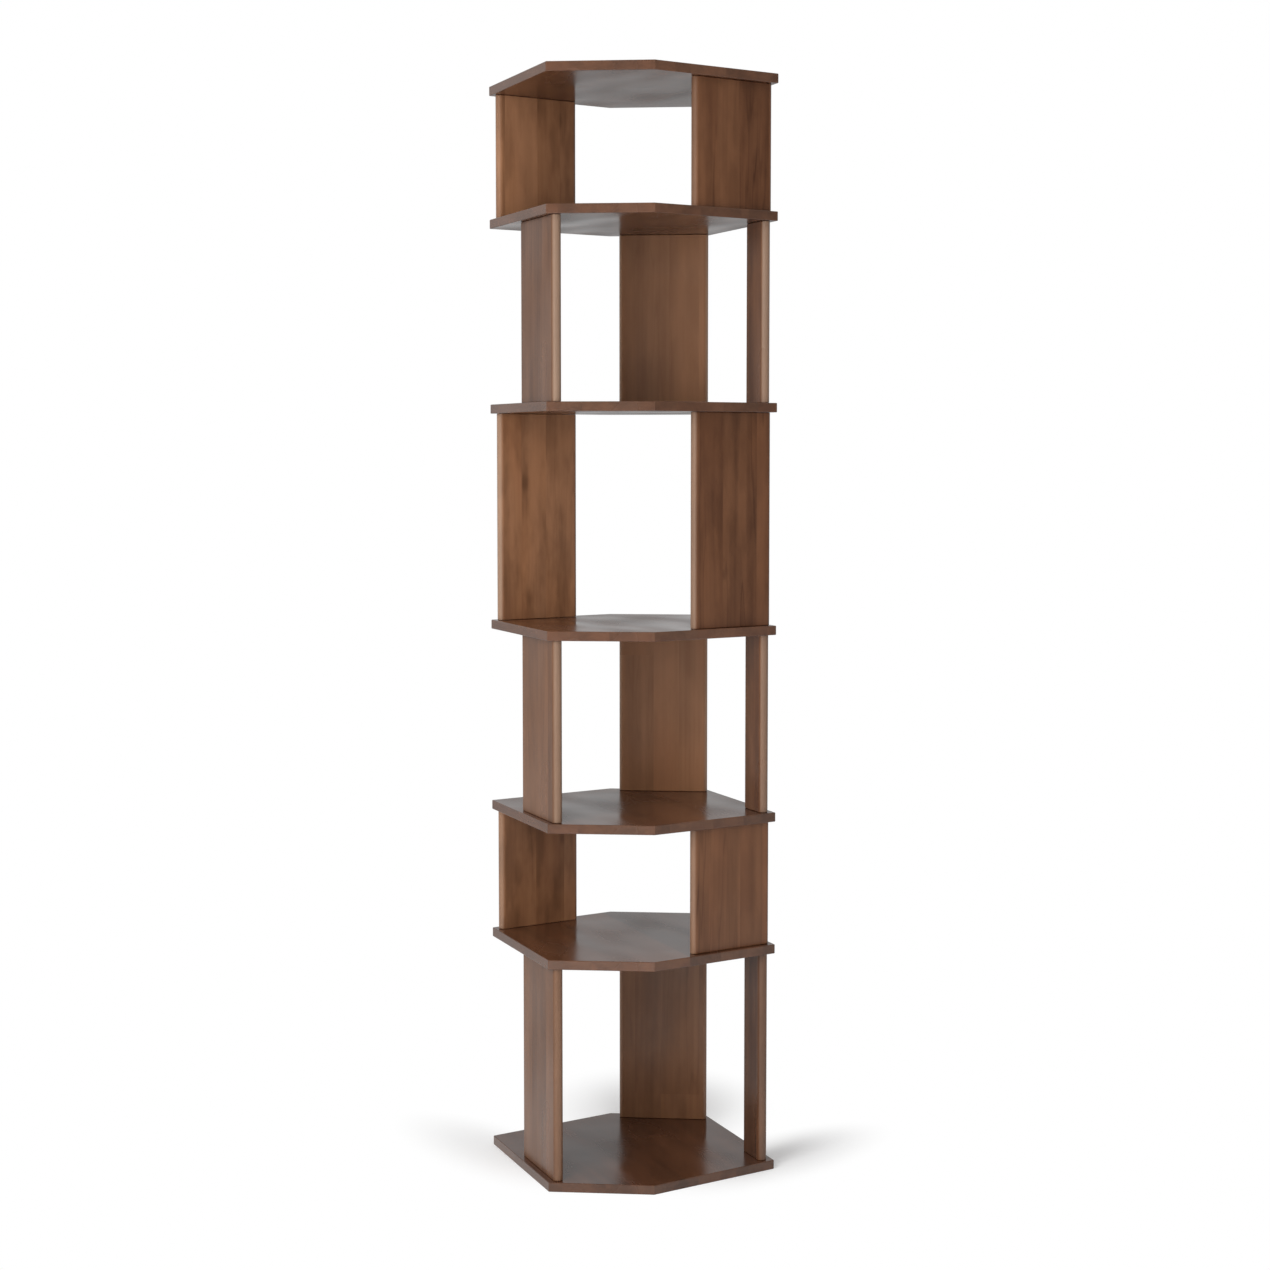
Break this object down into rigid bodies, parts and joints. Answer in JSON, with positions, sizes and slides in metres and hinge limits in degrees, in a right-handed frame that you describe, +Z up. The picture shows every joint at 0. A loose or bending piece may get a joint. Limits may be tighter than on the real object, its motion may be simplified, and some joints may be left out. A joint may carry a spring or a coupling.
{
  "type": "step shelving unit",
  "caption": "Tall free-standing open shelving column: equal irregular hexagonal wooden shelves, stepped in height, on upright boards with rounded edges that shift round the sides.",
  "frame": {"origin": "middle of the underside of the base shelf, which is the centre of symmetry of its outline, on the floor", "axes": "+Z up the column; +X to the right along the front side of the shelves; +Y from the front side to the back side"},
  "size_m": [0.5392, 0.44, 2],
  "materials": {
    "shelf_wood": "brown stain under a satin clear coat, square edges with the arris taken off",
    "board_wood": "brown stain under a satin clear coat, upright grain, rounded long edges",
    "tenon_wood": "plain, unfinished hardwood"
  },
  "bodies": {
    "root": {"base_shelf": "shelf_wood", "shelf_2": "shelf_wood", "shelf_3": "shelf_wood", "shelf_4": "shelf_wood", "shelf_5": "shelf_wood", "shelf_6": "shelf_wood", "top_shelf": "shelf_wood", "tier_1_left_board": "board_wood", "tier_1_back_board": "board_wood", "tier_1_right_slat": "board_wood", "tier_2_left_board": "board_wood", "tier_2_right_board": "board_wood", "tier_3_left_board": "board_wood", "tier_3_back_board": "board_wood", "tier_3_right_slat": "board_wood", "tier_4_left_board": "board_wood", "tier_4_right_board": "board_wood", "tier_5_left_board": "board_wood", "tier_5_back_board": "board_wood", "tier_5_right_slat": "board_wood", "tier_6_left_board": "board_wood", "tier_6_right_board": "board_wood", "tier_1_left_board_lower_tenon": "tenon_wood", "tier_1_left_board_upper_tenon": "tenon_wood", "tier_1_back_board_lower_tenon": "tenon_wood", "tier_1_back_board_upper_tenon": "tenon_wood", "tier_1_right_slat_lower_tenon": "tenon_wood", "tier_1_right_slat_upper_tenon": "tenon_wood", "tier_2_left_board_lower_tenon": "tenon_wood", "tier_2_left_board_upper_tenon": "tenon_wood", "tier_2_right_board_lower_tenon": "tenon_wood", "tier_2_right_board_upper_tenon": "tenon_wood", "tier_3_left_board_lower_tenon": "tenon_wood", "tier_3_left_board_upper_tenon": "tenon_wood", "tier_3_back_board_lower_tenon": "tenon_wood", "tier_3_back_board_upper_tenon": "tenon_wood", "tier_3_right_slat_lower_tenon": "tenon_wood", "tier_3_right_slat_upper_tenon": "tenon_wood", "tier_4_left_board_lower_tenon": "tenon_wood", "tier_4_left_board_upper_tenon": "tenon_wood", "tier_4_right_board_lower_tenon": "tenon_wood", "tier_4_right_board_upper_tenon": "tenon_wood", "tier_5_left_board_lower_tenon": "tenon_wood", "tier_5_left_board_upper_tenon": "tenon_wood", "tier_5_back_board_lower_tenon": "tenon_wood", "tier_5_back_board_upper_tenon": "tenon_wood", "tier_5_right_slat_lower_tenon": "tenon_wood", "tier_5_right_slat_upper_tenon": "tenon_wood", "tier_6_left_board_lower_tenon": "tenon_wood", "tier_6_left_board_upper_tenon": "tenon_wood", "tier_6_right_board_lower_tenon": "tenon_wood", "tier_6_right_board_upper_tenon": "tenon_wood"}
  },
  "joints": []
}
